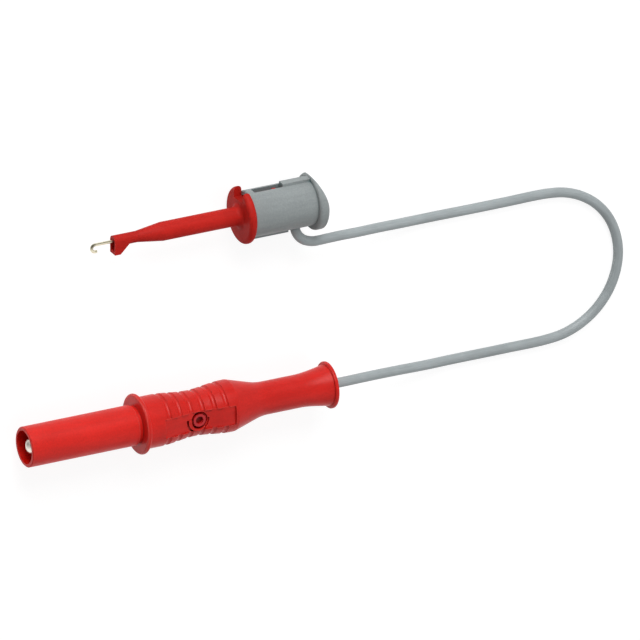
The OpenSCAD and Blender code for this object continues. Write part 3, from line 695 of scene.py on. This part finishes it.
# Copper strands: one in the middle and two layers round it, five strands across
STRAND_LAYERS = (1, 6, 12)
BUNDLE_R = 0.6 * MM
STRAND_R = BUNDLE_R / 5
STRAND_PITCH = 14 * MM
STRAND_STEP = 0.4 * MM
STRAND_LEAST_STEPS = 8
STRAND_SIDES = 10


def make_strands(name, node, start, end):
    """A bundle of twisted copper strands between two points, in the space of its CAD solid."""
    length = (end - start).length
    ahead = (end - start).normalized()
    side = ahead.orthogonal().normalized()
    up = ahead.cross(side)
    steps = max(STRAND_LEAST_STEPS, round(length / STRAND_STEP))
    paths = []
    for layer, count in enumerate(STRAND_LAYERS):
        for k in range(count):
            path = []
            for i in range(steps + 1):
                run = length * i / steps
                turn = 2 * math.pi * (k / count + run / STRAND_PITCH)
                across = math.cos(turn) * side + math.sin(turn) * up
                path.append(start + run * ahead + 2 * STRAND_R * layer * across)
            paths.append(path)
    strands = tube(name, paths, STRAND_R, STRAND_SIDES, ahead, ahead)
    look = metal(name + "_look", **COPPER, roughness=0.3, lines=COARSE_LINES, drawn=True)
    strands.data.materials.append(look)
    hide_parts(node)
    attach(strands, "lead")


make_strands("plug_strands", "plug_conductor", *node_ends("plug_conductor", X_AXIS))
make_strands("cap_strands", "cap_conductor", *reversed(node_ends("cap_conductor", Y_AXIS)))

# Studio: the world's light from its dark side at -X to its light side at +X, and where gloss shows it dim
SIDE_LEVELS = (0.15, 0.53)
DIM_DIRECTION = (-0.45, 0.85, 0.25)
DIM_SPREAD = (0.0, 0.7)
DIM_LEVEL = 0.20
WHITE_LEVEL = 1.0
PAPER_LEVEL = 0.85
SHADOW_SHARE = 0.30
FLOOR_GLOW = 0.83
FLOOR_HALF = 4
LAMPS_AIM = Vector((0.08, 0.02, 0))
Lamp = namedtuple("Lamp", "name direction distance size power rim")
LAMPS = [
    Lamp("key", direction=(-0.12, 0.85, 0.50), distance=1.0, size=0.7, power=7.3, rim=False),
    Lamp("fill", direction=(0.3, -0.5, 0.8), distance=1.2, size=1.0, power=2.3, rim=False),
    Lamp("rim_high", direction=(-0.22, 0.84, 0.50), distance=1.0, size=0.7, power=7.4, rim=True),
    Lamp("rim_low", direction=(-0.25, 0.96, 0.12), distance=1.0, size=0.6, power=4.4, rim=True),
]
PLASTIC_NODES = ("plug_shroud", "grip_shell", "nose_body", "plunger_cap")


def grey(level):
    return level, level, level, 1


def seen_directly(tree):
    """1 for rays from the camera, from gloss and through glass, and 0 for the rays that light a surface."""
    rays = tree.node("LightPath").outputs
    seen = tree.math("MAXIMUM", rays["Is Camera Ray"], rays["Is Glossy Ray"])
    return tree.math("MAXIMUM", seen, rays["Is Transmission Ray"])


def graded(tree, direction, spread, levels):
    """A level that changes smoothly with how far a ray points in a direction."""
    ray = tree.node("TexCoord").outputs["Generated"]
    towards = tree.measure("DOT_PRODUCT", ray, Vector(direction).normalized())
    return tree.span(towards, *spread, *levels, interpolation_type="SMOOTHSTEP")


def make_world():
    """White to the camera. The unlit back of the studio shows in gloss as a soft grey, and less light comes
    from its dark side."""
    world = bpy.data.worlds.new("studio")
    scene.world = world
    world.use_nodes = True
    tree = NodeTree(world.node_tree)
    light = graded(tree, (1, 0, 0), (-1.0, 1.0), SIDE_LEVELS)
    gloss = graded(tree, DIM_DIRECTION, DIM_SPREAD, (WHITE_LEVEL, DIM_LEVEL))
    strength = tree.span(seen_directly(tree), 0.0, 1.0, light, gloss)
    camera_ray = tree.node("LightPath").outputs["Is Camera Ray"]
    strength = tree.span(camera_ray, 0.0, 1.0, strength, WHITE_LEVEL)
    background = tree.node("Background", {"Color": grey(1), "Strength": strength})
    tree.node("OutputWorld", {"Surface": background.outputs[0]})


def make_floor():
    """White to the camera and in gloss, with the object's soft shadow kept, and plain paper to other rays."""
    look = bpy.data.materials.new("floor_look")
    look.use_nodes = True
    tree = NodeTree(look.node_tree)
    paper = tree.node("BsdfDiffuse", {"Color": grey(PAPER_LEVEL)})
    shade = tree.node("BsdfDiffuse", {"Color": grey(SHADOW_SHARE)})
    glow = tree.node("Emission", {"Strength": FLOOR_GLOW})
    white = tree.node("AddShader", {0: shade.outputs[0], 1: glow.outputs[0]})
    mixed = tree.node("MixShader", {0: seen_directly(tree), 1: paper.outputs[0], 2: white.outputs[0]})
    tree.node("OutputMaterial", {"Surface": mixed.outputs[0]})
    corners = [(x * FLOOR_HALF, y * FLOOR_HALF, FLOOR_Z) for x, y in ((-1, -1), (1, -1), (1, 1), (-1, 1))]
    floor = new_mesh("floor", corners, [(0, 1, 2, 3)])
    floor.data.materials.append(look)


def make_lamps():
    """Soft lamps. The rim lamps show only in the gloss of plastic: the metal shows the bare studio."""
    plastics = bpy.data.collections.new("plastics")
    for piece in (cable, *(cad_nodes[name] for name in PLASTIC_NODES)):
        plastics.objects.link(piece)
    for lamp in LAMPS:
        data = bpy.data.lights.new(lamp.name, "AREA")
        data.shape = "DISK"
        data.size = lamp.size
        data.energy = lamp.power
        light = bpy.data.objects.new(lamp.name, data)
        light.visible_diffuse = not lamp.rim
        light.visible_glossy = lamp.rim
        if lamp.rim:
            light.light_linking.receiver_collection = plastics
        towards = Vector(lamp.direction).normalized()
        light.location = LAMPS_AIM + towards * lamp.distance
        light.rotation_mode = "QUATERNION"
        light.rotation_quaternion = towards.to_track_quat("Z", "Y")
        scene.collection.objects.link(light)


make_world()
make_floor()
make_lamps()
scene.view_settings.view_transform = "Standard"
